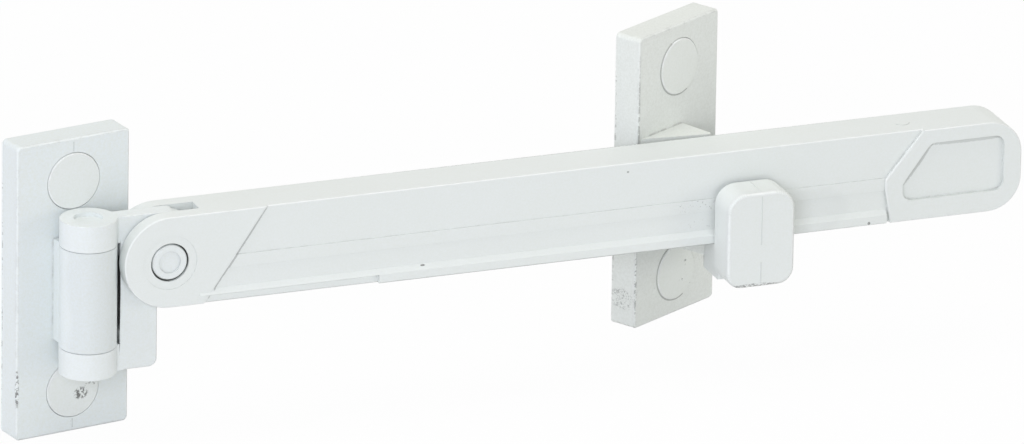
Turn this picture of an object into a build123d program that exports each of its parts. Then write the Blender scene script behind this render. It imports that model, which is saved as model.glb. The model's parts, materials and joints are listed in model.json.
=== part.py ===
"""Window restrictor: an arm, hinged to a frame plate, runs in a swivelling hook on a sash plate.

Row frame: the origin is the middle of the frame plate's back face, +X runs to the right along that plate,
-Y points into the room and +Z is up. Lengths are millimetres.
"""
import os
from math import cos, radians, sin, sqrt, tan

from build123d import *

# Plates that are screwed to the frame and to the sash
PLATE_WIDTH = 30.9
PLATE_HEIGHT = 75.0
PLATE_THICKNESS = 7.4
PLATE_CORNER = 1.2
PLATE_EDGE = 0.6
SCREW_MARGIN = 10.9
SCREW_HOLE_RADIUS = 2.4

# Round covers over the screws, each on legs that are pressed into the recess
CAP_RADIUS = 7.1
CAP_GAP = 0.12
CAP_DISC = 1.9
CAP_PROUD = 0.4
CAP_CHAMFER = 0.35
RECESS_RADIUS = 6.2
LEG_WIDTH = 3.0
LEG_THICKNESS = 1.3
LEG_LENGTH = 2.2
LEG_COUNT = 3
LEG_ROOM = 0.5

# Hinge between the frame plate and the link
HINGE_RADIUS = 7.0
HINGE_GAP = 0.35
BARREL_HEIGHT = 25.6
RING_GAP = 0.15
RING_HEIGHT = 6.7
NECK_WIDTH = 11.0
HINGE_PIN_RADIUS = 3.6
HINGE_PIN_SINK = 1.0
RUNNING_CLEARANCE = 0.08
RIM_CHAMFER = 0.4

# Link between hinge and arm
LINK_YAW = -9.7
LINK_THICKNESS = 4.0
WEB_GAP = 0.5
WEB_REACH = 17.0
WEB_CORNER = 2.0
TONGUE_RADIUS = 11.2
TONGUE_TOP_REACH = 3.5

# Arm: a channel that is open below
ARM_HEIGHT = 23.1
ARM_THICKNESS = 13.6
ARM_LENGTH = 220.8
PIVOT_REACH = 18.6
ARM_END_RADIUS = 8.5
ARM_EDGE = 0.6
FRONT_EDGE = 0.35
PANEL_SINK = 1.0
PIVOT_END_SINK = 0.4
CHEEK_GAP = 0.4
SIDE_WALL = 2.2
TOP_WALL = 2.2
END_WALL = 2.6
SLOT_REACH = 8.7
SLOT_RUNOUT = 1.8
RIB_THICKNESS = 1.4
RIB_PITCH = 28.0
RIB_RISE = 5.0
STOP_WALL = 3.0

# Front of the arm, with heights measured up from its middle line
STEP_TOP_REACH = 24.8
STEP_BOTTOM_REACH = 10.4
RUNNER_TOP = 0.0
RUNNER_BOTTOM = -3.2
RUNNER_PROUD = 0.25
BEAD_TOP = -8.0
LIP_TOP = -9.3
NOTCH_START = 7.5
NOTCH_LENGTH = 46.0
GRIP_LENGTH = 35.7
GRIP_TOP_SLANT = 9.9
GRIP_FOOT_SLANT = 1.4
GRIP_SHOULDER = -0.2
GRIP_SLOT_TOP = -3.2
GRIP_SLOT_WIDTH = 1.0
POCKET_DEPTH = 1.0
POCKET_MARGIN = 4.6
POCKET_TOP = 8.0
POCKET_BOTTOM = -6.3
POCKET_TOP_LENGTH = 19.4
POCKET_LENGTH = 26.7
POCKET_CORNER = 2.6

# Pin on which the arm lifts
PIVOT_PIN_RADIUS = 4.45
PIVOT_PIN_SINK = 0.15
PIVOT_HOLLOW_RADIUS = 2.8
PIVOT_HOLLOW_DEPTH = 0.5
PIVOT_RING_WIDTH = 0.4
PIVOT_RING_DEPTH = 2.0
PIVOT_DISC_RADIUS = 6.85
PIVOT_DISC_DEPTH = 0.15

# Swivel hook that carries the arm
HEAD_POSITION = 167.5
HEAD_GAP = 0.4
KNOB_WIDTH = 17.5
KNOB_TOP = 3.9
KNOB_BOTTOM = -20.4
KNOB_DEPTH = 8.8
KNOB_CORNER = 5.0
KNOB_FOOT_CORNER = 4.0
KNOB_EDGE = 0.8
FORK_RADIUS = 8.0
LAP_GAP = 0.3
SWIVEL_PIN_RADIUS = 2.0
SWIVEL_PIN_SINK = 0.3
PEG_RISE = 4.0

# Sash plate
KEEPER_YAW = 20.2
SWIVEL_REACH = 18.9
TONGUE_HEIGHT = 3.0
TONGUE_WIDTH = 10.0
LOWER_CHEEK = 2.3
COVER_CLEARANCE = 1.7
WEDGE_REACH = 10.7
WEDGE_APEX = 0.5
WEDGE_FOOT = 1.6
WEDGE_ANGLE = 36.0
WEDGE_ROOT = 0.3
WEDGE_EDGE = 0.8
TONGUE_SWING = 38.0

# Places worked out from the sizes above
PLATE_FRONT = -PLATE_THICKNESS
SCREW_SPACING = PLATE_HEIGHT - 2 * SCREW_MARGIN
HINGE_Y = PLATE_FRONT - HINGE_RADIUS - HINGE_GAP
RING_BASE = BARREL_HEIGHT / 2 + RING_GAP
LINK_TOP = RING_BASE + RING_HEIGHT
ARM_Z = LINK_TOP - ARM_HEIGHT / 2
HALF_HEIGHT = ARM_HEIGHT / 2
ARM_BACK = ARM_THICKNESS / 2
LIP_FACE = -ARM_THICKNESS / 2
PANEL_FACE = LIP_FACE + PANEL_SINK
PIVOT_END_FACE = LIP_FACE + PIVOT_END_SINK
ARM_END = PIVOT_REACH + ARM_LENGTH
GRIP_START = ARM_END - GRIP_LENGTH
STOP_FACE = GRIP_START - KNOB_WIDTH / 2 + SWIVEL_PIN_RADIUS
CHEEK_FACE = LINK_THICKNESS / 2 + CHEEK_GAP
KNOB_BACK = LIP_FACE - HEAD_GAP
KNOB_FRONT = KNOB_BACK - KNOB_DEPTH
FORK_TOP = -HALF_HEIGHT - HEAD_GAP
FORK_SLOT_BOTTOM = KNOB_BOTTOM + LOWER_CHEEK
FORK_SLOT_TOP = FORK_SLOT_BOTTOM + TONGUE_HEIGHT + 2 * LAP_GAP
TONGUE_BASE = FORK_SLOT_BOTTOM + LAP_GAP
SASH_RISE = TONGUE_BASE - COVER_CLEARANCE - CAP_RADIUS + SCREW_SPACING / 2
SEAT_DEPTH = CAP_DISC - CAP_PROUD
RECESS_DEPTH = SEAT_DEPTH + LEG_LENGTH + LEG_ROOM
FAR = 2 * ARM_LENGTH

ARM_FRAME = Location((0, HINGE_Y, ARM_Z), (0, 0, LINK_YAW))
SWIVEL_AXIS = ARM_FRAME * Location((HEAD_POSITION, 0, 0))
SWIVEL_POINT = SWIVEL_AXIS.position
KEEPER_BACK_REACH = SWIVEL_REACH + PLATE_THICKNESS
KEEPER_ORIGIN = (
    SWIVEL_POINT.X - KEEPER_BACK_REACH * sin(radians(KEEPER_YAW)),
    SWIVEL_POINT.Y + KEEPER_BACK_REACH * cos(radians(KEEPER_YAW)),
    ARM_Z,
)
KEEPER_FRAME = Location(KEEPER_ORIGIN, (0, 0, KEEPER_YAW))


def block(x_span, y_span, z_span):
    """A box between two limits on each axis."""
    size = [high - low for low, high in (x_span, y_span, z_span)]
    middle = [(high + low) / 2 for low, high in (x_span, y_span, z_span)]
    return Pos(*middle) * Box(*size)


def upright(radius, low, high, x=0.0, y=0.0):
    """An upright cylinder between two heights."""
    return Pos(x, y, (low + high) / 2) * Cylinder(radius, high - low)


def through(radius, x, z, back, front):
    """A cylinder that lies along Y, between a back and a front place."""
    return Pos(x, (back + front) / 2, z) * Rot(90, 0, 0) * Cylinder(radius, abs(back - front))


def facing(sketch, back, front):
    """Extrudes an outline drawn in X and Z from a back place to a front one."""
    return extrude(Plane.XZ.offset(-back) * sketch, amount=back - front)


def rounded_polygon(points, radius):
    """A closed outline with each corner rounded."""
    shape = make_face(Polyline(*points, close=True))
    return fillet(shape.vertices(), radius)


def plate_body():
    """A plate with eased edges, two stepped screw recesses and their holes."""
    outline = RectangleRounded(PLATE_WIDTH, PLATE_HEIGHT, PLATE_CORNER)
    body = facing(outline, 0, PLATE_FRONT)
    body = chamfer(body.faces().sort_by(Axis.Y)[0].edges(), PLATE_EDGE)
    for z in (-SCREW_SPACING / 2, SCREW_SPACING / 2):
        body -= through(CAP_RADIUS + CAP_GAP, 0, z, PLATE_FRONT + SEAT_DEPTH, PLATE_FRONT - 1)
        body -= through(RECESS_RADIUS, 0, z, PLATE_FRONT + RECESS_DEPTH, PLATE_FRONT)
        body -= through(SCREW_HOLE_RADIUS, 0, z, 1, PLATE_FRONT)
    return body


def cap(z):
    """A flat cover on short legs, seated in the recess at one height."""
    outer = sqrt(RECESS_RADIUS ** 2 - (LEG_WIDTH / 2) ** 2)
    leg = block((outer - LEG_THICKNESS, outer), (-LEG_WIDTH / 2, LEG_WIDTH / 2), (-LEG_LENGTH, CAP_DISC / 2))
    disc = upright(CAP_RADIUS, 0, CAP_DISC)
    solid = chamfer(disc.edges().sort_by(Axis.Z)[-1], CAP_CHAMFER)
    for index in range(LEG_COUNT):
        solid += Rot(0, 0, 90 + index * 360 / LEG_COUNT) * leg
    return Pos(0, PLATE_FRONT + SEAT_DEPTH, z) * Rot(90, 0, 0) * solid


def hinge_plate():
    """The frame plate with the hinge barrel standing on its face."""
    half = BARREL_HEIGHT / 2
    barrel = upright(HINGE_RADIUS, -half, half, 0, HINGE_Y)
    neck = block((-NECK_WIDTH / 2, NECK_WIDTH / 2), (HINGE_Y, PLATE_FRONT + PLATE_EDGE), (-half, half))
    bore = upright(HINGE_PIN_RADIUS + RUNNING_CLEARANCE, -half, half, 0, HINGE_Y)
    return plate_body() + neck + barrel - bore


def link():
    """Two rings on the hinge axis, a web beside the barrel and a tongue that ends inside the arm."""
    top = HALF_HEIGHT
    bottom = top - 2 * LINK_TOP
    web_start = HINGE_RADIUS + WEB_GAP
    web = Rectangle(WEB_REACH - web_start, top - bottom)
    web = Pos((web_start + WEB_REACH) / 2, (top + bottom) / 2) * web
    web = fillet(web.vertices().group_by(Axis.Y)[0].sort_by(Axis.X)[-1:], WEB_CORNER)
    tongue_end = PIVOT_REACH + TONGUE_TOP_REACH
    tongue = Pos((web_start + tongue_end) / 2, top / 2) * Rectangle(tongue_end - web_start, top)
    tongue = fillet(tongue.vertices().group_by(Axis.Y)[-1].sort_by(Axis.X)[-1:], WEB_CORNER)
    outline = web + tongue + Pos(PIVOT_REACH, 0) * Circle(TONGUE_RADIUS)
    outline -= Pos(web_start - FAR / 2, 0) * Rectangle(FAR, FAR)
    solid = facing(outline, LINK_THICKNESS / 2, -LINK_THICKNESS / 2)
    solid = chamfer(solid.faces().sort_by(Axis.Y)[0].edges(), FRONT_EDGE)
    for low in (top - RING_HEIGHT, bottom):
        ring = upright(HINGE_RADIUS, low, low + RING_HEIGHT)
        ring = chamfer(ring.faces().sort_by(Axis.Z)[-1].edges(), RIM_CHAMFER / 2)
        half = LINK_THICKNESS / 2
        root = block((0, web_start + 1), (-half, half), (low, low + RING_HEIGHT))
        solid += ring + root
        solid -= upright(HINGE_PIN_RADIUS, low, low + RING_HEIGHT)
    solid -= through(PIVOT_PIN_RADIUS, PIVOT_REACH, 0, LINK_THICKNESS, -LINK_THICKNESS)
    return ARM_FRAME * solid


def hinge_pin():
    """The upright pin, held by the rings and sunk below their ends."""
    length = LINK_TOP - HINGE_PIN_SINK
    return upright(HINGE_PIN_RADIUS, -length, length, 0, HINGE_Y)


def arm_outline():
    """The arm seen from the front: a round pivot end and a grip end with rounded corners."""
    bar = Pos(PIVOT_REACH + ARM_LENGTH / 2, 0) * Rectangle(ARM_LENGTH, ARM_HEIGHT)
    bar = fillet(bar.vertices().group_by(Axis.X)[-1], ARM_END_RADIUS)
    return bar + Pos(PIVOT_REACH, 0) * Circle(HALF_HEIGHT)


def step_slope():
    """How far the slanted step of the pivot end runs along the arm for each millimetre of height."""
    return (STEP_TOP_REACH - STEP_BOTTOM_REACH) / (HALF_HEIGHT - LIP_TOP)


def raised(outline, face):
    """A field that stands proud of the arm's panel, with its front edges eased."""
    field = facing(outline, PANEL_FACE + 2 * FRONT_EDGE, face)
    return chamfer(field.faces().sort_by(Axis.Y)[0].edges(), FRONT_EDGE)


def pivot_end():
    """The raised field round the pivot, which ends in a slanted step."""
    top = PIVOT_REACH + STEP_TOP_REACH
    foot = top - step_slope() * ARM_HEIGHT
    field = make_face(Polyline(
        (-FAR, HALF_HEIGHT), (top, HALF_HEIGHT), (foot, -HALF_HEIGHT), (-FAR, -HALF_HEIGHT), close=True,
    ))
    return raised(arm_outline() & field, PIVOT_END_FACE)


def grip():
    """The raised grip, with its slanted upper edge, upright stop edge and shallow pocket."""
    start = GRIP_START
    field = make_face(Polyline(
        (start + GRIP_TOP_SLANT, HALF_HEIGHT), (start, GRIP_SHOULDER), (start, GRIP_SLOT_TOP),
        (start + GRIP_FOOT_SLANT, -HALF_HEIGHT), (ARM_END, -HALF_HEIGHT), (ARM_END, HALF_HEIGHT), close=True,
    ))
    right = ARM_END - POCKET_MARGIN
    waist = (POCKET_TOP + POCKET_BOTTOM) / 2 - POCKET_CORNER
    pocket = rounded_polygon(
        [(right - POCKET_TOP_LENGTH, POCKET_TOP), (right, POCKET_TOP), (right, POCKET_BOTTOM),
         (right - POCKET_LENGTH, POCKET_BOTTOM), (right - POCKET_LENGTH, waist)],
        POCKET_CORNER,
    )
    return raised(arm_outline() & field, LIP_FACE) - facing(pocket, LIP_FACE + POCKET_DEPTH, LIP_FACE - 1)


def lip():
    """The bottom rail with its sloped upper edge, cut back over the stretch next to the pivot end."""
    end = GRIP_START + GRIP_FOOT_SLANT - GRIP_SLOT_WIDTH
    section = make_face(Plane.YZ * Polyline(
        (PANEL_FACE, BEAD_TOP), (LIP_FACE, LIP_TOP), (LIP_FACE, FRONT_EDGE - HALF_HEIGHT),
        (LIP_FACE + FRONT_EDGE, -HALF_HEIGHT), (PANEL_FACE, -HALF_HEIGHT), close=True,
    ))
    rail = Pos(PIVOT_REACH, 0, 0) * extrude(section, amount=end - PIVOT_REACH)
    notch_start = PIVOT_REACH + NOTCH_START
    rail -= block((0, notch_start + NOTCH_LENGTH), (LIP_FACE - 1, PANEL_FACE), (-HALF_HEIGHT, LIP_TOP))
    rail -= block((0, notch_start), (LIP_FACE - 1, PANEL_FACE), (-HALF_HEIGHT, HALF_HEIGHT))
    return rail


def channel():
    """The hollow of the arm, open below, with the cross ribs and the stop wall left standing."""
    start = PIVOT_REACH + TONGUE_RADIUS + CHEEK_GAP
    end = ARM_END - END_WALL
    inside = (PANEL_FACE + SIDE_WALL, ARM_BACK - SIDE_WALL)
    roof = HALF_HEIGHT - TOP_WALL
    hollow = block((start, end), inside, (-HALF_HEIGHT - 1, roof))
    count = int((end - start) / RIB_PITCH)
    for index in range(1, count + 1):
        x = end - index * RIB_PITCH
        hollow -= block((x, x + RIB_THICKNESS), inside, (-HALF_HEIGHT + RIB_RISE, roof))
    hollow -= block((STOP_FACE, STOP_FACE + STOP_WALL), inside, (-HALF_HEIGHT - 1, roof))
    slot = (-CHEEK_FACE, CHEEK_FACE)
    hollow += block((-FAR, PIVOT_REACH + SLOT_REACH), slot, (-HALF_HEIGHT - 1, HALF_HEIGHT + 1))
    hollow += block((PIVOT_REACH, start + SLOT_RUNOUT), slot, (-HALF_HEIGHT - 1, roof))
    return hollow


def arm():
    """The arm as one moulding."""
    body = facing(arm_outline(), ARM_BACK, PANEL_FACE)
    body = chamfer(body.faces().sort_by(Axis.Y)[-1].edges(), ARM_EDGE)
    top_edges = body.edges().filter_by(Axis.X).group_by(Axis.Z)[-1]
    body = chamfer(top_edges.sort_by(Axis.Y)[0], FRONT_EDGE)
    runner_start = PIVOT_REACH + STEP_TOP_REACH - step_slope() * (HALF_HEIGHT - RUNNER_BOTTOM)
    runner_face = PANEL_FACE - RUNNER_PROUD
    runner = block((runner_start, GRIP_START), (runner_face, PANEL_FACE), (RUNNER_BOTTOM, RUNNER_TOP))
    body += pivot_end() + grip() + runner + lip()
    body -= channel()
    body -= through(PIVOT_PIN_RADIUS + RUNNING_CLEARANCE, PIVOT_REACH, 0, ARM_BACK + 1, LIP_FACE - 1)
    front = PIVOT_END_FACE
    body -= through(PIVOT_PIN_RADIUS + PIVOT_RING_WIDTH, PIVOT_REACH, 0, front + PIVOT_RING_DEPTH, front - 1)
    body -= through(PIVOT_DISC_RADIUS, PIVOT_REACH, 0, front + PIVOT_DISC_DEPTH, front - 1)
    return ARM_FRAME * body


def pivot_pin():
    """The pin through tongue and cheeks, with a hollow in its front end."""
    front = PIVOT_END_FACE + PIVOT_PIN_SINK
    pin = through(PIVOT_PIN_RADIUS, PIVOT_REACH, 0, ARM_BACK - PIVOT_PIN_SINK, front)
    pin = chamfer(pin.edges().filter_by(GeomType.CIRCLE).sort_by(Axis.Y)[0], RIM_CHAMFER)
    pin -= through(PIVOT_HOLLOW_RADIUS, PIVOT_REACH, 0, front + PIVOT_HOLLOW_DEPTH, front - 1)
    return ARM_FRAME * pin


def swivel_head():
    """The hook: a knob in front of the arm on a fork that passes under it."""
    outline = Pos(0, (KNOB_TOP + KNOB_BOTTOM) / 2) * Rectangle(KNOB_WIDTH, KNOB_TOP - KNOB_BOTTOM)
    outline = fillet(outline.vertices().group_by(Axis.Y)[-1], KNOB_CORNER)
    outline = fillet(outline.vertices().group_by(Axis.Y)[0], KNOB_FOOT_CORNER)
    knob = facing(outline, KNOB_BACK, KNOB_FRONT)
    knob = chamfer(knob.faces().sort_by(Axis.Y)[0].edges(), KNOB_EDGE)
    base = block((-FORK_RADIUS, FORK_RADIUS), (KNOB_BACK - KNOB_EDGE, 0), (KNOB_BOTTOM, FORK_TOP))
    base += upright(FORK_RADIUS, KNOB_BOTTOM, FORK_TOP)
    room = TONGUE_WIDTH / 2 + LAP_GAP
    footprint = Circle(room) + Pos(0, KNOB_WIDTH / 2) * Rectangle(2 * room, KNOB_WIDTH)
    swept = [Rot(0, 0, share * TONGUE_SWING) * footprint for share in (0.0, 0.5, 1.0)]
    slot = extrude(sum(swept, Sketch()), amount=FORK_SLOT_TOP - FORK_SLOT_BOTTOM)
    slot = Pos(0, 0, FORK_SLOT_BOTTOM) * slot
    pin_hole = upright(SWIVEL_PIN_RADIUS, KNOB_BOTTOM, FORK_TOP)
    return SWIVEL_AXIS * (knob + base - slot - pin_hole)


def swivel_pin():
    """The upright pin through fork and tongue, whose upper end is a peg that runs in the arm's channel."""
    pin = upright(SWIVEL_PIN_RADIUS, KNOB_BOTTOM + SWIVEL_PIN_SINK, FORK_TOP + PEG_RISE)
    return SWIVEL_AXIS * pin


def keeper_plate():
    """The sash plate with the stop wedge behind the arm and the tongue under it."""
    apex = PLATE_FRONT - WEDGE_REACH
    root = PLATE_FRONT + WEDGE_ROOT
    heel = WEDGE_APEX - (root - apex) / tan(radians(WEDGE_ANGLE))
    plan = make_face(Polyline((heel, root), (WEDGE_APEX, apex), (WEDGE_FOOT, root), close=True))
    wedge = Pos(0, 0, -HALF_HEIGHT) * extrude(plan, amount=ARM_HEIGHT)
    wedge = fillet(wedge.edges().filter_by(Axis.Z).sort_by(Axis.Y)[0], WEDGE_EDGE)
    low = TONGUE_BASE
    axis_y = PLATE_FRONT - SWIVEL_REACH
    tongue = block((-TONGUE_WIDTH / 2, TONGUE_WIDTH / 2), (axis_y, root), (low, low + TONGUE_HEIGHT))
    tongue += upright(TONGUE_WIDTH / 2, low, low + TONGUE_HEIGHT, 0, axis_y)
    tongue -= upright(SWIVEL_PIN_RADIUS + RUNNING_CLEARANCE, low, low + TONGUE_HEIGHT, 0, axis_y)
    return KEEPER_FRAME * (Pos(0, 0, SASH_RISE) * plate_body() + wedge + tongue)


def main():
    """Builds every piece and writes one file for each."""
    pieces = {
        "hinge_plate": hinge_plate(),
        "hinge_cap_upper": cap(SCREW_SPACING / 2),
        "hinge_cap_lower": cap(-SCREW_SPACING / 2),
        "link": link(),
        "hinge_pin": hinge_pin(),
        "pivot_pin": pivot_pin(),
        "arm": arm(),
        "swivel_head": swivel_head(),
        "swivel_pin": swivel_pin(),
        "keeper_plate": keeper_plate(),
        "keeper_cap_upper": KEEPER_FRAME * cap(SASH_RISE + SCREW_SPACING / 2),
        "keeper_cap_lower": KEEPER_FRAME * cap(SASH_RISE - SCREW_SPACING / 2),
    }
    os.makedirs("parts", exist_ok=True)
    for name, piece in pieces.items():
        export_step(piece, f"parts/{name}.step")


main()
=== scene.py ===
"""Window restrictor in off-white moulded plastic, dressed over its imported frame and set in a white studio."""

import json
import logging
from dataclasses import dataclass, field, replace
from enum import Enum
from math import atan2, cos, pi, radians, sin

import bmesh
import bpy
from mathutils import Matrix, Vector


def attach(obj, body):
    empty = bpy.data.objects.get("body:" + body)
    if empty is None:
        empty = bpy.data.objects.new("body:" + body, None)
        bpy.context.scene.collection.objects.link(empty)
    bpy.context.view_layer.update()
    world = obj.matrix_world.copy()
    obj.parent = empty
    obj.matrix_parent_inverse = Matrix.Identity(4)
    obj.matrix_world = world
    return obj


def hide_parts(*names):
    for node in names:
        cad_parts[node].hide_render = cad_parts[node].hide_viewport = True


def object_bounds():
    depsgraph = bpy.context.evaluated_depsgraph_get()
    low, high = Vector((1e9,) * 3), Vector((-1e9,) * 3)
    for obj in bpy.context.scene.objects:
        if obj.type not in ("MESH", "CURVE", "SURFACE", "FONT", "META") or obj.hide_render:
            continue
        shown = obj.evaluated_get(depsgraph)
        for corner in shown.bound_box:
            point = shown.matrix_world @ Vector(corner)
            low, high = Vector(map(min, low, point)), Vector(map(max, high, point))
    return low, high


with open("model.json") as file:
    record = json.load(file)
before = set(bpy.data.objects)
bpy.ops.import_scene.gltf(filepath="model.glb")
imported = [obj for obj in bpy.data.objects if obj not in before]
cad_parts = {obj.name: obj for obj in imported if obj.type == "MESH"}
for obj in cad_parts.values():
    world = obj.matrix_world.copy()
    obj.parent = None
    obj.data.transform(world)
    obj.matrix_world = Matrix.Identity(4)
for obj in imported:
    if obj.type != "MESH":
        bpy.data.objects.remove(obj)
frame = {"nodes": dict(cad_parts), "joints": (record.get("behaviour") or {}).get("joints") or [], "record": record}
CAD_BOX = [list(corner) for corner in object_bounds()]

MM = 0.001
IMAGE_WIDTH = 1024
EDGE_MASK = "eased_edge"
NODE_SPACING = 190.0
WHITE = (1.0, 1.0, 1.0, 1.0)

log = logging.getLogger("window_restrictor")

Triple = tuple[float, float, float]


class Body(Enum):
    """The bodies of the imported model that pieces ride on."""

    FRAME_SIDE = "frame_side"
    LINK = "link"
    ARM = "arm"
    HOOK = "hook"
    SASH_SIDE = "sash_side"


class Slot(Enum):
    """The record's material slots."""

    WHITE = "white_plastic"
    PIN = "pin_steel"


@dataclass(frozen=True)
class Place:
    """A local frame on the part, in which lengths are millimetres.

    Args:
        origin: Where the frame stands, in metres.
        yaw: How far it is turned about the vertical, in radians.
    """

    origin: Triple
    yaw: float = 0.0

    def matrix(self) -> Matrix:
        """The frame as a matrix that takes local metres to the part's own metres."""
        return Matrix.Translation(self.origin) @ Matrix.Rotation(self.yaw, 4, "Z")


def named(items: list[dict], name: str) -> dict:
    """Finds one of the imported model's joints or mounts by its name."""
    return next(item for item in items if item["name"] == name)


def frame_place() -> Place:
    """The frame plate: the middle of its back face."""
    return Place((0.0, 0.0, 0.0))


def arm_place() -> Place:
    """The arm: the hinge axis at the height of the arm's middle line.

    Returns:
        The arm's frame.
    """
    hinge = named(frame["joints"], "link_swing")["pos_m"]
    pivot = named(frame["joints"], "arm_lift")["pos_m"]
    along = named(frame["joints"], "hook_slide")["axis"]
    return Place((hinge[0], hinge[1], pivot[2]), atan2(along[1], along[0]))


def hook_place() -> Place:
    """The hook: its swivel axis at the height of the arm's middle line."""
    return Place(tuple(named(frame["joints"], "sash_swivel")["pos_m"]), arm_place().yaw)


def sash_place() -> Place:
    """The sash plate: the middle of its back face."""
    back = named(frame["record"]["mounts"], "sash_back")
    return Place(tuple(back["pos_m"]), atan2(-back["axis"][0], back["axis"][1]))


def local_box(node: str, place: Place) -> tuple[Vector, Vector]:
    """Measures a node in a local frame.

    Args:
        node: The node's name.
        place: The frame.

    Returns:
        Its lowest and highest corners there, in millimetres.
    """
    inward = place.matrix().inverted()
    points = [inward @ vertex.co / MM for vertex in frame["nodes"][node].data.vertices]
    low = Vector(min(point[axis] for point in points) for axis in range(3))
    high = Vector(max(point[axis] for point in points) for axis in range(3))
    return low, high


class NodeSheet:
    """Adds nodes to one shader tree and joins them."""

    def __init__(self, tree: bpy.types.NodeTree) -> None:
        """Takes the tree that the nodes go into."""
        self.tree = tree

    def add(self, kind: str, inputs: dict | None = None, **settings: object) -> bpy.types.Node:
        """Adds a node, sets its own settings and fills its inputs.

        Args:
            kind: The node's type.
            inputs: Input name or index, and the output socket that feeds it or its plain value.
            **settings: Attributes of the node.

        Returns:
            The new node.
        """
        node = self.tree.nodes.new(kind)
        for name, value in settings.items():
            setattr(node, name, value)
        for name, value in (inputs or {}).items():
            if isinstance(value, bpy.types.NodeSocket):
                self.tree.links.new(value, node.inputs[name])
            else:
                node.inputs[name].default_value = value
        node.location.x = NODE_SPACING * len(self.tree.nodes)
        return node

    def math(self, operation: str, first: bpy.types.NodeSocket, second: float | bpy.types.NodeSocket,
             clamp: bool = False) -> bpy.types.NodeSocket:
        """Adds a calculation on a socket and a number or a second socket, and returns its result's socket."""
        node = self.add("ShaderNodeMath", {0: first, 1: second}, operation=operation, use_clamp=clamp)
        return node.outputs[0]

    def mix_colour(self, factor: bpy.types.NodeSocket, low: bpy.types.NodeSocket,
                   high: bpy.types.NodeSocket | tuple) -> bpy.types.NodeSocket:
        """Mixes a second colour over a first by a factor, and returns the mixed colour's socket."""
        return self.add("ShaderNodeMix", {0: factor, 6: low, 7: high}, data_type="RGBA").outputs[2]

    def noise(self, place: bpy.types.NodeSocket, scale: float | bpy.types.NodeSocket, detail: float,
              roughness: float = 0.5) -> bpy.types.NodeSocket:
        """Adds a noise with so many waves per millimetre and finer layers, and returns its value's socket."""
        node = self.add("ShaderNodeTexNoise", {"Vector": place, "Scale": scale, "Detail": detail,
                                               "Roughness": roughness})
        return node.outputs["Fac"]


def blank_material(name: str) -> tuple[bpy.types.Material, NodeSheet]:
    """Starts a material without nodes.

    Args:
        name: The material's name.

    Returns:
        The material, and a sheet to add nodes on.
    """
    made = bpy.data.materials.new(name)
    made.use_nodes = True
    made.node_tree.nodes.clear()
    return made, NodeSheet(made.node_tree)


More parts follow.
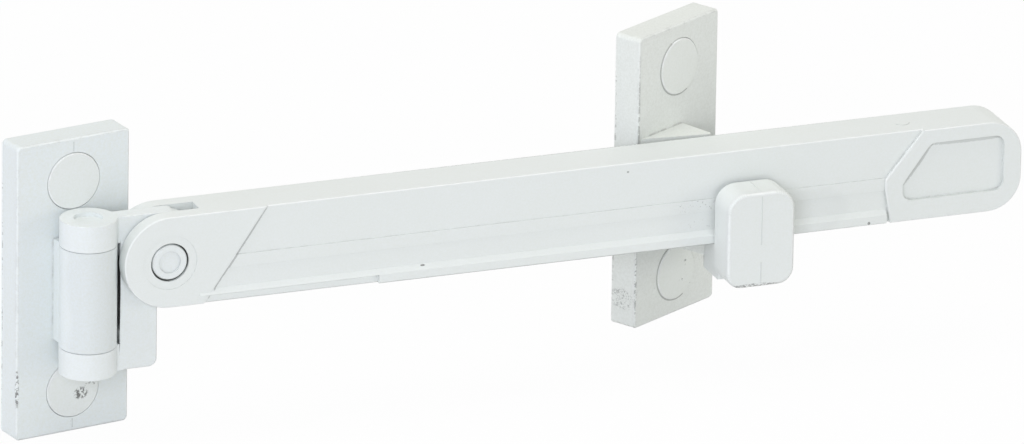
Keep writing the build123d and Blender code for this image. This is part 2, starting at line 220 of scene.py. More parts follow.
class Effects:
    """Shader groups that several finishes share, each built once."""

    def __init__(self) -> None:
        """Builds the groups."""
        self.skin = self._skin()
        self.ageing = self._ageing()
        self.wear_and_shade = self._wear_and_shade()
        self.rubbed = self._edge_wear_and_shade()

    @staticmethod
    def _group(name: str, inputs: dict[str, tuple], outputs: dict[str, str]) -> tuple:
        """Starts a group with named sockets.

        Args:
            name: The group's name.
            inputs: Input name, with its socket type and its first value.
            outputs: Output name, with its socket type.

        Returns:
            The group, a sheet to add nodes on, the sockets of its inputs and those of its results.
        """
        tree = bpy.data.node_groups.new(name, "ShaderNodeTree")
        for label, (kind, value) in inputs.items():
            socket = tree.interface.new_socket(label, in_out="INPUT", socket_type=kind)
            if value is not None:
                socket.default_value = value
        for label, kind in outputs.items():
            tree.interface.new_socket(label, in_out="OUTPUT", socket_type=kind)
        sheet = NodeSheet(tree)
        return tree, sheet, sheet.add("NodeGroupInput").outputs, sheet.add("NodeGroupOutput").inputs

    def _skin(self) -> bpy.types.NodeTree:
        """Fine spark texture of the mould with slow ripples, as a height and a change of roughness.

        Returns:
            The group.
        """
        tree, sheet, given, result = self._group(
            "moulded_skin",
            {"Vector": ("NodeSocketVector", None), "Grain": ("NodeSocketFloat", 2.2),
             "Ripple": ("NodeSocketFloat", 0.12), "Ripple share": ("NodeSocketFloat", 0.5)},
            {"Height": "NodeSocketFloat", "Gloss": "NodeSocketFloat"},
        )
        grain = sheet.noise(given["Vector"], given["Grain"], 3.0, 0.6)
        ripple = sheet.noise(given["Vector"], given["Ripple"], 1.0)
        slow = sheet.math("MULTIPLY", ripple, given["Ripple share"])
        height = sheet.math("ADD", grain, slow)
        tree.links.new(height, result["Height"])
        tree.links.new(ripple, result["Gloss"])
        return tree

    def _ageing(self) -> bpy.types.NodeTree:
        """Faint change of the plastic's colour towards a tint: slow clouds and a fine mottle.

        Returns:
            The group.
        """
        mottle_scale, mottle_floor = 1.7, 0.42
        tree, sheet, given, result = self._group(
            "aged_colour",
            {"Vector": ("NodeSocketVector", None), "Colour": ("NodeSocketColor", None),
             "Tint": ("NodeSocketColor", None), "Amount": ("NodeSocketFloat", 0.3),
             "Mottle": ("NodeSocketFloat", 0.2), "Scale": ("NodeSocketFloat", 0.05)},
            {"Colour": "NodeSocketColor"},
        )
        cloud = sheet.noise(given["Vector"], given["Scale"], 4.0, 0.55)
        mottle = sheet.noise(given["Vector"], mottle_scale, 3.0, 0.75)
        slow = sheet.math("MULTIPLY", cloud, given["Amount"])
        peaks = sheet.math("SUBTRACT", mottle, mottle_floor)
        fine = sheet.math("MULTIPLY", peaks, given["Mottle"])
        share = sheet.math("ADD", slow, fine, clamp=True)
        colour = sheet.mix_colour(share, given["Colour"], given["Tint"])
        tree.links.new(colour, result["Colour"])
        return tree

    def _wear_and_shade(self) -> bpy.types.NodeTree:
        """A patch of marks round one place, ragged at its rim and broken up inside, for dirt, wear and painted
        shade.

        Returns:
            The group.
        """
        rim_outside, rim_inside = 1.55, 1.25
        bare_below, cover_share, sharpness = 0.725, 0.45, 14.0
        tree, sheet, given, result = self._group(
            "wear_and_shade_patch",
            {"Vector": ("NodeSocketVector", None), "Centre": ("NodeSocketVector", None),
             "Reach": ("NodeSocketVector", None), "Lean": ("NodeSocketFloat", 0.0),
             "Grain": ("NodeSocketFloat", 3.0), "Cover": ("NodeSocketFloat", 1.0),
             "Strength": ("NodeSocketFloat", 0.8)},
            {"Mask": "NodeSocketFloat"},
        )
        offset = sheet.add("ShaderNodeVectorMath", {0: given["Vector"], 1: given["Centre"]},
                           operation="SUBTRACT")
        upright = sheet.math("MULTIPLY", given["Lean"], -1.0)
        turned = sheet.add("ShaderNodeVectorRotate", {"Vector": offset.outputs[0], "Angle": upright},
                           rotation_type="Y_AXIS")
        scaled = sheet.add("ShaderNodeVectorMath", {0: turned.outputs[0], 1: given["Reach"]},
                           operation="DIVIDE")
        distance = sheet.add("ShaderNodeVectorMath", {0: scaled.outputs[0]}, operation="LENGTH")
        noise = sheet.noise(given["Vector"], given["Grain"], 3.0, 0.65)
        ragged = sheet.math("ADD", distance.outputs["Value"], noise)
        inside = sheet.add("ShaderNodeMapRange",
                           {"Value": ragged, "From Min": rim_outside, "From Max": rim_inside},
                           interpolation_type="SMOOTHSTEP")
        raised = sheet.math("SUBTRACT", noise, bare_below)
        filled = sheet.math("MULTIPLY", given["Cover"], cover_share)
        level = sheet.math("ADD", raised, filled)
        broken = sheet.math("MULTIPLY", level, sharpness, clamp=True)
        mask = sheet.math("MULTIPLY", inside.outputs["Result"], broken)
        strong = sheet.math("MULTIPLY", mask, given["Strength"], clamp=True)
        tree.links.new(strong, result["Mask"])
        return tree

    def _edge_wear_and_shade(self) -> bpy.types.NodeTree:
        """Broken dirt along eased edges, painted shade in corners where the part's own shape hides the light, and
        eased edges brightened as rubbed wear and as a painted highlight.

        Returns:
            The group.
        """
        patch_start, patch_full = 0.44, 0.62
        corner_start, corner_full = 0.82, 0.35
        even_share, uneven_share = 0.25, 0.85
        tree, sheet, given, result = self._group(
            "edge_wear_and_painted_shade",
            {"Vector": ("NodeSocketVector", None), "Edge": ("NodeSocketFloat", 0.0),
             "Open": ("NodeSocketFloat", 1.0), "Edge dirt": ("NodeSocketFloat", 0.3),
             "Corner shade": ("NodeSocketFloat", 0.6), "Bare edge": ("NodeSocketFloat", 0.5),
             "Grain": ("NodeSocketFloat", 0.28)},
            {"Dirt and shade": "NodeSocketFloat", "Bare and highlit": "NodeSocketFloat"},
        )
        noise = sheet.noise(given["Vector"], given["Grain"], 8.0, 0.8)
        patches = sheet.add("ShaderNodeMapRange",
                            {"Value": noise, "From Min": patch_start, "From Max": patch_full},
                            interpolation_type="SMOOTHSTEP")
        rubbed = sheet.math("MULTIPLY", patches.outputs["Result"], given["Edge"])
        along = sheet.math("MULTIPLY", rubbed, given["Edge dirt"])
        # Painted shade in corners, where the local occlusion closes in, broken up unevenly.
        shut = sheet.add("ShaderNodeMapRange",
                         {"Value": given["Open"], "From Min": corner_start, "From Max": corner_full})
        uneven = sheet.math("MULTIPLY_ADD", patches.outputs["Result"], uneven_share)
        uneven.node.inputs[2].default_value = even_share
        broken = sheet.math("MULTIPLY", shut.outputs["Result"], uneven)
        painted_corner_shade = sheet.math("MULTIPLY", broken, given["Corner shade"])
        # The darker of the edge dirt and the painted corner shade.
        dirt = sheet.math("MAXIMUM", along, painted_corner_shade, clamp=True)
        # Eased edges brightened: rubbed wear and a painted highlight.
        bare_highlight = sheet.math("MULTIPLY", given["Edge"], given["Bare edge"])
        tree.links.new(dirt, result["Dirt and shade"])
        tree.links.new(bare_highlight, result["Bare and highlit"])
        return tree


@dataclass(frozen=True)
class Mark:
    """A worn or dirty patch on a finish, or a patch of painted shade.

    Args:
        centre: Its middle in the finish's own frame, in millimetres.
        reach: Half its size along that frame's axes, in millimetres.
        cover: How much of the patch is filled; 0 leaves it nearly bare and 2 leaves no gap.
        strength: How dark it is, from 0 to 1.
        grain: How fine its break-up is, in waves per millimetre.
        lean: How far its upright axis leans along the frame's first axis, in radians.
    """

    centre: Triple
    reach: Triple
    cover: float = 1.0
    strength: float = 0.75
    grain: float = 2.5
    lean: float = 0.0


@dataclass(frozen=True)
class PlasticFinish:
    """Satin moulded plastic that has aged a little.

    Args:
        name: The material's name.
        place: The frame in which its patterns and marks are laid out.
        colour: Its base colour, linear.
        tint: The colour that it ages towards, linear.
        ageing: How far it has aged, from 0 to 1.
        roughness: Its mean roughness.
        bump: How deep its skin is.
        mottle: How strong its fine mottle is.
        edge_dirt: How dark the dirt along its edges is, from 0 to 1.
        corner_shade: How dark the painted shade in its corners is, from 0 to 1.
        corner_reach: How far out of a corner the painted shade comes, in millimetres.
        edge_highlight: How far its eased edges are brightened, as rubbed wear and as a painted highlight, from 0
            to 1.
        marks: Worn and dirty patches, and patches of painted shade.
        grime_and_shade: The colour of the marks, dirt and painted shade alike, linear.
        dust_and_shade: The colour of the dirt on edges and of the painted shade in corners, linear.
        bare_highlight: The colour of rubbed edges and of their painted highlight, linear.
        gloss_spread: How far its roughness changes from place to place.
        skin_depth: The height of its skin at full bump, in millimetres.
        corner_samples: How many rays look for corners at a point.
    """

    name: str
    place: Place
    colour: Triple = (0.77, 0.804, 0.798)
    tint: Triple = (0.70, 0.73, 0.665)
    ageing: float = 0.22
    roughness: float = 0.42
    bump: float = 0.05
    mottle: float = 0.8
    edge_dirt: float = 0.18
    corner_shade: float = 0.6
    corner_reach: float = 1.1
    edge_highlight: float = 0.3
    marks: tuple[Mark, ...] = ()
    grime_and_shade: Triple = (0.10, 0.10, 0.095)
    dust_and_shade: Triple = (0.30, 0.305, 0.285)
    bare_highlight: Triple = (0.90, 0.92, 0.915)
    gloss_spread: float = 0.16
    skin_depth: float = 0.05
    corner_samples: int = 12

    def material(self, effects: Effects) -> bpy.types.Material:
        """Builds the material.

        Args:
            effects: The shared shader groups.

        Returns:
            The material.
        """
        made, sheet = blank_material(self.name)
        made.diffuse_color = (*self.colour, 1.0)
        where = sheet.add("ShaderNodeTexCoord")
        local = sheet.add("ShaderNodeMapping",
                          {"Vector": where.outputs["Object"], "Location": self.place.origin,
                           "Rotation": (0.0, 0.0, self.place.yaw), "Scale": (MM, MM, MM)},
                          vector_type="TEXTURE").outputs["Vector"]
        skin = sheet.add("ShaderNodeGroup", {"Vector": local}, node_tree=effects.skin)
        aged = sheet.add("ShaderNodeGroup",
                         {"Vector": local, "Colour": (*self.colour, 1.0), "Tint": (*self.tint, 1.0),
                          "Amount": self.ageing, "Mottle": self.mottle}, node_tree=effects.ageing)
        edge = sheet.add("ShaderNodeAttribute", attribute_name=EDGE_MASK)
        # Local occlusion: darkens corners and creases as painted shade.
        corner = sheet.add("ShaderNodeAmbientOcclusion", {"Distance": self.corner_reach * MM},
                           samples=self.corner_samples, only_local=True)
        # The edges' dirt and their brightening, which is rubbed wear plus a painted highlight, and the painted
        # corner shade.
        rubbed = sheet.add("ShaderNodeGroup",
                           {"Vector": local, "Edge": edge.outputs["Fac"], "Open": corner.outputs["AO"],
                            "Edge dirt": self.edge_dirt, "Corner shade": self.corner_shade,
                            "Bare edge": self.edge_highlight}, node_tree=effects.rubbed)
        # Eased edges brightened towards a pale colour: rubbed wear and a painted highlight.
        colour = sheet.mix_colour(rubbed.outputs["Bare and highlit"], aged.outputs["Colour"], (*self.bare_highlight, 1.0))
        # Darkened towards the dirt colour: dirt along edges, and painted shade in corners.
        colour = sheet.mix_colour(rubbed.outputs["Dirt and shade"], colour, (*self.dust_and_shade, 1.0))
        # Marks: dirt and wear, and on some parts painted shade.
        for mark in self.marks:
            patch = sheet.add("ShaderNodeGroup",
                              {"Vector": local, "Centre": mark.centre, "Reach": mark.reach,
                               "Cover": mark.cover, "Strength": mark.strength, "Grain": mark.grain,
                               "Lean": mark.lean}, node_tree=effects.wear_and_shade)
            colour = sheet.mix_colour(patch.outputs["Mask"], colour, (*self.grime_and_shade, 1.0))
        spread = sheet.math("MULTIPLY", skin.outputs["Gloss"], self.gloss_spread)
        rough = sheet.math("ADD", spread, self.roughness - self.gloss_spread / 2)
        bump = sheet.add("ShaderNodeBump", {"Height": skin.outputs["Height"], "Strength": self.bump,
                                            "Distance": self.skin_depth * MM})
        shader = sheet.add("ShaderNodeBsdfPrincipled",
                           {"Base Color": colour, "Roughness": rough, "Normal": bump.outputs["Normal"]})
        sheet.add("ShaderNodeOutputMaterial", {"Surface": shader.outputs["BSDF"]})
        return made

    def dust_and_shade_line(self, share: float = 0.72) -> "PlasticFinish":
        """The same plastic darker, with a share of its brightness left, for a thin line: dirt clinging to a raised
        line, and painted shadow at the covers' rims.
        """
        darker = tuple(share * part for part in self.colour)
        return replace(self, name=f"{self.name}_line", colour=darker, marks=())


@dataclass(frozen=True)
class SteelFinish:
    """Plain drawn steel of the swivel pin.

    Args:
        name: The material's name.
        colour: Its base colour, linear.
        tint: The colour that it dulls towards, linear.
        roughness: Its mean roughness.
    """

    name: str = "drawn_steel"
    colour: Triple = (0.46, 0.46, 0.45)
    tint: Triple = (0.30, 0.29, 0.27)
    roughness: float = 0.34

    def material(self, effects: Effects) -> bpy.types.Material:
        """Builds the material.

        Args:
            effects: The shared shader groups.

        Returns:
            The material.
        """
        made, sheet = blank_material(self.name)
        where = sheet.add("ShaderNodeTexCoord")
        local = sheet.add("ShaderNodeMapping", {"Vector": where.outputs["Object"], "Scale": (MM, MM, MM)},
                          vector_type="TEXTURE").outputs["Vector"]
        skin = sheet.add("ShaderNodeGroup", {"Vector": local}, node_tree=effects.skin)
        rough = sheet.math("MULTIPLY", skin.outputs["Height"], self.roughness)
        aged = sheet.add("ShaderNodeGroup",
                         {"Vector": local, "Colour": (*self.colour, 1.0), "Tint": (*self.tint, 1.0)},
                         node_tree=effects.ageing)
        shader = sheet.add("ShaderNodeBsdfPrincipled",
                           {"Base Color": aged.outputs["Colour"], "Roughness": rough, "Metallic": 1.0})
        sheet.add("ShaderNodeOutputMaterial", {"Surface": shader.outputs["BSDF"]})
        return made


@dataclass
class Workshop:
    """Turns meshes into finished pieces of the part.

    Args:
        weld: How near two corners are when they are one, in metres.
        smooth: The angle up to which neighbouring faces are shaded as one curve, in radians.
        level: The angle up to which neighbouring faces are one plane, in radians.
        turn: The angle up to which faces are a curved surface, and from which a narrow one eases an edge,
            in radians.
        minor: The share of the largest plane's area below which a plane gives way to it at a corner.
        bead_sides: How many sides a straight bead has.
        bead_ease: How far a straight bead's ends are eased, as a share of its radius.
        arc_sides: How many sides a bead along an arc has.
        arc_steps: How many lengths it is made of.
        pieces: The pieces made so far.
    """

    weld: float = 0.001 * MM
    smooth: float = radians(52.0)
    level: float = radians(0.3)
    turn: float = radians(24.0)
    minor: float = 0.25
    bead_sides: int = 10
    bead_ease: float = 0.4
    arc_sides: int = 8
    arc_steps: int = 24
    pieces: list[bpy.types.Object] = field(default_factory=list)

    def moulding(self, node: str) -> bmesh.types.BMesh:
        """Copies a node's solid as one closed skin, so that its eased edges can be shaded as curves.

        Args:
            node: The node's name.

        Returns:
            The copy.
        """
        shape = bmesh.new()
        shape.from_mesh(frame["nodes"][node].data)
        bmesh.ops.remove_doubles(shape, verts=shape.verts[:], dist=self.weld)
        bmesh.ops.dissolve_degenerate(shape, edges=shape.edges[:], dist=self.weld)
        return shape

    def _planes(self, shape: bmesh.types.BMesh) -> tuple[list[int], list[float]]:
        """Finds the planes of a mesh.

        Args:
            shape: The mesh, with its faces numbered.

        Returns:
            Each face's plane, and each plane's area.
        """
        plane_of = [-1] * len(shape.faces)
        areas: list[float] = []
        for seed in shape.faces:
            if plane_of[seed.index] >= 0:
                continue
            plane_of[seed.index] = len(areas)
            open_faces, area = [seed], 0.0
            while open_faces:
                face = open_faces.pop()
                area += face.calc_area()
                for other in (near for edge in face.edges for near in edge.link_faces):
                    if plane_of[other.index] < 0 and other.normal.dot(seed.normal) > cos(self.level):
                        plane_of[other.index] = len(areas)
                        open_faces.append(other)
            areas.append(area)
        return plane_of, areas

    def _one_curve(self, face: bmesh.types.BMFace, other: bmesh.types.BMFace, plane_of: list[int],
                   areas: list[float]) -> bool:
        """Tells whether two faces at a corner are shaded as one curve.

        Args:
            face: One face.
            other: The other face.
            plane_of: Each face's plane.
            areas: Each plane's area.

        Returns:
            True on a curved surface, and where a narrow face eases the edge of a larger one.
        """
        along = face.normal.dot(other.normal)
        small, large = sorted((areas[plane_of[face.index]], areas[plane_of[other.index]]))
        return along > cos(self.turn) or (along > cos(self.smooth) and small < self.minor * large)

    def _eased(self, shape: bmesh.types.BMesh, plane_of: list[int], areas: list[float]) -> list[float]:
        """Finds the narrow faces that ease an edge between larger planes.

        Args:
            shape: The mesh.
            plane_of: Each face's plane.
            areas: Each plane's area.

        Returns:
            1 for each face that eases an edge, and 0 for each other face.
        """
        eased = []
        for face in shape.faces:
            own = areas[plane_of[face.index]]
            beside = [other for edge in face.edges for other in edge.link_faces
                      if cos(self.smooth) < other.normal.dot(face.normal) < cos(self.turn)]
            eased.append(float(any(self.minor * areas[plane_of[other.index]] > own for other in beside)))
        return eased

    def _corner_normals(self, shape: bmesh.types.BMesh, plane_of: list[int],
                        areas: list[float]) -> list[Vector]:
        """Works out normals that keep planes flat and let the eased edges between them turn as curves.

        Args:
            shape: The mesh.
            plane_of: Each face's plane.
            areas: Each plane's area.

        Returns:
            The normal of each corner of each face, in the mesh's order.
        """
        normals = []
        for face in shape.faces:
            for corner in face.loops:
                near = [other for other in corner.vert.link_faces
                        if self._one_curve(face, other, plane_of, areas)]
                facing = {plane_of[other.index]: other.normal for other in near}
                least = self.minor * max(areas[plane] for plane in facing)
                leading = [normal * areas[plane] for plane, normal in facing.items() if areas[plane] >= least]
                normals.append(sum(leading, Vector()).normalized())
        return normals

    def finish(self, name: str, shape: bmesh.types.BMesh, body: Body, slot: Slot,
               finish: bpy.types.Material, stands_for: str | None = None) -> None:
        """Makes a mesh a piece of the part.

        Args:
            name: The piece's name.
            shape: Its mesh, in the part's own metres; it is freed.
            body: The body that it rides on.
            slot: The record's slot that its finish comes from; not used.
            finish: Its material.
            stands_for: The node that it replaces, if it does.
        """
        mesh = bpy.data.meshes.new(name)
        shape.faces.index_update()
        shape.normal_update()
        plane_of, areas = self._planes(shape)
        normals = self._corner_normals(shape, plane_of, areas)
        eased = self._eased(shape, plane_of, areas)
        shape.to_mesh(mesh)
        shape.free()
        mesh.shade_smooth()
        mesh.normals_split_custom_set(normals)
        mesh.attributes.new(EDGE_MASK, "FLOAT", "FACE").data.foreach_set("value", eased)
        mesh.materials.clear()
        mesh.materials.append(finish)
        piece = bpy.data.objects.new(name, mesh)
        bpy.context.scene.collection.objects.link(piece)
        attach(piece, body.value)
        if stands_for:
            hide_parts(stands_for)
        self.pieces.append(piece)
        log.info("%s: %d faces on %s", name, len(mesh.polygons), body.value)

    def bead(self, place: Place, start: Triple, end: Triple, radius: float) -> bmesh.types.BMesh:
        """A thin round bead between two points, with eased ends, such as a mould's parting line leaves.

        Args:
            place: The frame in which the points are given.
            start: Where it begins, in millimetres.
            end: Where it stops, in millimetres.
            radius: Its radius, in millimetres.

        Returns:
            The bead's mesh.
        """
        run = Vector(end) - Vector(start)
        shape = bmesh.new()
        bmesh.ops.create_cone(shape, cap_ends=True, segments=self.bead_sides, radius1=radius * MM,
                              radius2=radius * MM, depth=run.length * MM)
        rims = [edge for edge in shape.edges if abs(edge.verts[0].co.z - edge.verts[1].co.z) < self.weld]
        bmesh.ops.bevel(shape, geom=rims, offset=self.bead_ease * radius * MM, offset_type="OFFSET",
                        affect="EDGES", segments=2, profile=0.5, material=-1)
        middle = (Vector(start) + Vector(end)) * MM / 2
        turn = run.to_track_quat("Z", "Y").to_matrix().to_4x4()
        spot = place.matrix() @ Matrix.Translation(middle) @ turn
        bmesh.ops.transform(shape, matrix=spot, verts=shape.verts[:])
        return shape

    def arc(self, place: Place, centre: Triple, radius: float, width: float, angle: float,
            turn: float, upright: bool = False) -> bmesh.types.BMesh:
        """A thin round bead along an arc, such as the rim of an ejector mark or the painted shadow line round a
        cover.

        Args:
            place: The frame in which the centre is given.
            centre: The arc's centre, in millimetres.
            radius: The arc's radius, in millimetres.
            width: The bead's radius, in millimetres.
            angle: How far the arc runs, in radians.
            turn: Where it starts, in radians.
            upright: Whether it lies in the frame's front plane instead of a level one.

        Returns:
            The arc's mesh.
        """
        shape = bmesh.new()
        ring = bmesh.ops.create_circle(shape, cap_ends=False, segments=self.arc_sides, radius=width * MM)
        standing = Matrix.Rotation(pi / 2, 4, "X")
        outwards = Matrix.Translation((radius * MM, 0.0, 0.0))
        bmesh.ops.transform(shape, matrix=outwards @ standing, verts=ring["verts"])
        bmesh.ops.spin(shape, geom=shape.verts[:] + shape.edges[:], cent=(0, 0, 0), axis=(0, 0, 1),
                       angle=angle, steps=self.arc_steps, use_duplicate=False)
        bmesh.ops.holes_fill(shape, edges=[edge for edge in shape.edges if edge.is_boundary], sides=0)
        bmesh.ops.recalc_face_normals(shape, faces=shape.faces[:])
        plane = standing if upright else Matrix.Identity(4)
        spot = place.matrix() @ Matrix.Translation(Vector(centre) * MM) @ plane
        spot = spot @ Matrix.Rotation(turn, 4, "Z")
        bmesh.ops.transform(shape, matrix=spot, verts=shape.verts[:])
        return shape


@dataclass
class ScrewPlate:
    """A plate with its two screw covers, the parting line above and below them and the painted shadow line at
    their rims.

    Args:
        name: The plate's node.
        caps: The covers' nodes.
        body: The body that they ride on.
        place: The plate's frame.
        finish: The plate's finish.
        cap_finish: The covers' finish.
        seam: The parting line's radius, in millimetres.
        seam_gap: How far it stays from a cover's rim, in millimetres.
        cap_proud: How far the covers stand out of the plate, in millimetres.
        parted: Whether the parting line shows.
        rim_shade: How much of the plate's brightness the painted shadow line at the covers' rims has; 0 for none.
        rim_width: The radius of that painted shadow line, in millimetres.
        rim_start: Where on the rim it starts, in radians from the right.
        rim_run: How far along the rim it runs, in radians.
    """

    name: str
    caps: tuple[str, str]
    body: Body
    place: Place
    finish: PlasticFinish
    cap_finish: PlasticFinish
    seam: float = 0.12
    seam_gap: float = 0.5
    cap_proud: float = 0.4
    parted: bool = True
    rim_shade: float = 0.0
    rim_width: float = 0.2
    rim_start: float = radians(115.0)
    rim_run: float = radians(180.0)

    def build(self, shop: Workshop, effects: Effects) -> None:
        """Makes the plate, its covers, its parting line and the painted shadow line at the covers' rims.

        Args:
            shop: The workshop that makes the pieces.
            effects: The shared shader groups.
        """
        white = self.finish.material(effects)
        cover = self.cap_finish.material(effects)
        plate = shop.moulding(self.name)
        shop.finish(f"{self.name}_moulding", plate, self.body, Slot.WHITE, white, self.name)
        for node in self.caps:
            shop.finish(f"{node}_cover", shop.moulding(node), self.body, Slot.WHITE, cover, node)
        if self.parted:
            self._seams(shop, self.finish.dust_and_shade_line().material(effects))
        if self.rim_shade:
            self._rims(shop, self.finish.dust_and_shade_line(self.rim_shade).material(effects))

    def _rims(self, shop: Workshop, dust_and_shade_line: bpy.types.Material) -> None:
        """Makes the painted shadow line along the left rim of each cover.

        Args:
            shop: The workshop that makes the pieces.
            dust_and_shade_line: The line's material.
        """
        for node in self.caps:
            low, high = local_box(node, self.place)
            centre = (0.0, low.y + self.cap_proud, (low.z + high.z) / 2)
            radius = (high.z - low.z) / 2 + self.rim_width / 2
            # A dark arc at the left of each cover: painted shadow in the gap round it.
            rim = shop.arc(self.place, centre, radius, self.rim_width, self.rim_run, self.rim_start,
                           upright=True)
            shop.finish(f"{node}_rim_shadow", rim, self.body, Slot.WHITE, dust_and_shade_line)

    def _seams(self, shop: Workshop, dust_and_shade_line: bpy.types.Material) -> None:
        """Makes the parting line, from each end of the plate to the cover next to it.

        Args:
            shop: The workshop that makes the pieces.
            dust_and_shade_line: The line's material.
        """
        top = local_box(self.name, self.place)[1].z
        front = local_box(self.caps[0], self.place)[0].y + self.cap_proud
        for node, sign in zip(self.caps, (1.0, -1.0)):
            low, high = local_box(node, self.place)
            rim = high.z if sign > 0 else low.z
            start = (0.0, front, rim + sign * self.seam_gap)
            end = (0.0, front, sign * (top - self.seam_gap * 2))
            bead = shop.bead(self.place, start, end, self.seam)
            shop.finish(f"{node}_parting_line", bead, self.body, Slot.WHITE, dust_and_shade_line)


@dataclass
class HingeLink:
    """The link with its hinge pin and the pin on which the arm lifts.

    Args:
        finish: The plastic of link and pins.
    """

    finish: PlasticFinish

    def build(self, shop: Workshop, effects: Effects) -> None:
        """Makes the link and both pins.

        Args:
            shop: The workshop that makes the pieces.
            effects: The shared shader groups.
        """
        white = self.finish.material(effects)
        for node in ("link", "hinge_pin", "pivot_pin"):
            shop.finish(f"{node}_moulding", shop.moulding(node), Body.LINK, Slot.WHITE, white, node)


@dataclass
class ChannelArm:
    """The channel arm with its runner, lip and grip.

    Args:
        finish: The arm's plastic.
        place: The arm's frame.
        gate: Where the gate mark is along and across the arm, in millimetres.
        gate_radius: Its radius, in millimetres.
        gate_rim: How far its rim stands out, in millimetres.
        gate_start: Where its rim starts, in radians from the arm's far end.
        gate_run: How far its rim runs, in radians.
    """

    finish: PlasticFinish
    place: Place
    gate: tuple[float, float] = (210.2, 0.2)
    gate_radius: float = 1.9
    gate_rim: float = 0.12
    gate_start: float = radians(200.0)
    gate_run: float = radians(140.0)

    def build(self, shop: Workshop, effects: Effects) -> None:
        """Makes the arm and the crescent that the mould's gate left on its top.

        Args:
            shop: The workshop that makes the pieces.
            effects: The shared shader groups.
        """
        white = self.finish.material(effects)
        shop.finish("arm_moulding", shop.moulding("arm"), Body.ARM, Slot.WHITE, white, "arm")
        top = local_box("arm", self.place)[1].z
        gate = shop.arc(self.place, (*self.gate, top), self.gate_radius, self.gate_rim, self.gate_run,
                        self.gate_start)
        shop.finish("arm_gate_mark", gate, Body.ARM, Slot.WHITE, self.finish.dust_and_shade_line().material(effects))


@dataclass
class SwivelHook:
    """The hook: its knob with the parting line, and its pin.

    Args:
        finish: The knob's plastic.
        pin_finish: The pin's steel.
        place: The hook's frame.
        seam: The parting line's radius, in millimetres.
        ease: How far it stays from the knob's edges, in millimetres.
        depth: The knob's depth, in millimetres.
        gap: Between which heights the line has worn away, in millimetres.
        seam_shade: How much of the plastic's brightness the darker parting line has.
    """

    finish: PlasticFinish
    pin_finish: SteelFinish
    place: Place
    seam: float = 0.13
    ease: float = 1.0
    depth: float = 8.8
    gap: tuple[float, float] = (-9.6, -14.0)
    seam_shade: float = 0.84

    def build(self, shop: Workshop, effects: Effects) -> None:
        """Makes the hook, its pin and the parting line over the knob.

        Args:
            shop: The workshop that makes the pieces.
            effects: The shared shader groups.
        """
        white = self.finish.material(effects)
        shop.finish("swivel_hook", shop.moulding("swivel_head"), Body.HOOK, Slot.WHITE, white, "swivel_head")
        shop.finish("swivel_pin_rod", shop.moulding("swivel_pin"), Body.HOOK, Slot.PIN,
                    self.pin_finish.material(effects), "swivel_pin")
        low, high = local_box("swivel_head", self.place)
        front, top, bottom = low.y, high.z, low.z
        runs = {
            "top": ((0.0, front + self.depth - self.ease / 2, top), (0.0, front + self.ease, top)),
            "upper": ((0.0, front, top - self.ease), (0.0, front, self.gap[0])),
            "lower": ((0.0, front, self.gap[1]), (0.0, front, bottom + self.ease)),
        }
        dust_and_shade_line = self.finish.dust_and_shade_line(self.seam_shade).material(effects)
        for name, (start, end) in runs.items():
            bead = shop.bead(self.place, start, end, self.seam)
            shop.finish(f"knob_parting_line_{name}", bead, Body.HOOK, Slot.WHITE, dust_and_shade_line)


@dataclass(frozen=True)
class Softbox:
    """A square soft light that faces the part.

    Args:
        name: Its name.
        spot: Where it hangs, in metres from the aim point.
        size: Its side, in metres.
        power: Its power, in watts.
        colour: Its colour, linear.
    """

    name: str
    spot: Triple
    size: float
    power: float
    colour: Triple

    def hang(self, aim: Triple) -> None:
        """Hangs the light.

        Args:
            aim: The point that it faces, in metres.
        """
        data = bpy.data.lights.new(self.name, "AREA")
        data.shape = "SQUARE"
        data.size = self.size
        data.energy = self.power
        data.color = self.colour
        lamp = bpy.data.objects.new(self.name, data)
        lamp.location = Vector(aim) + Vector(self.spot)
        lamp.rotation_euler = (-Vector(self.spot)).to_track_quat("-Z", "Y").to_euler()
        bpy.context.scene.collection.objects.link(lamp)


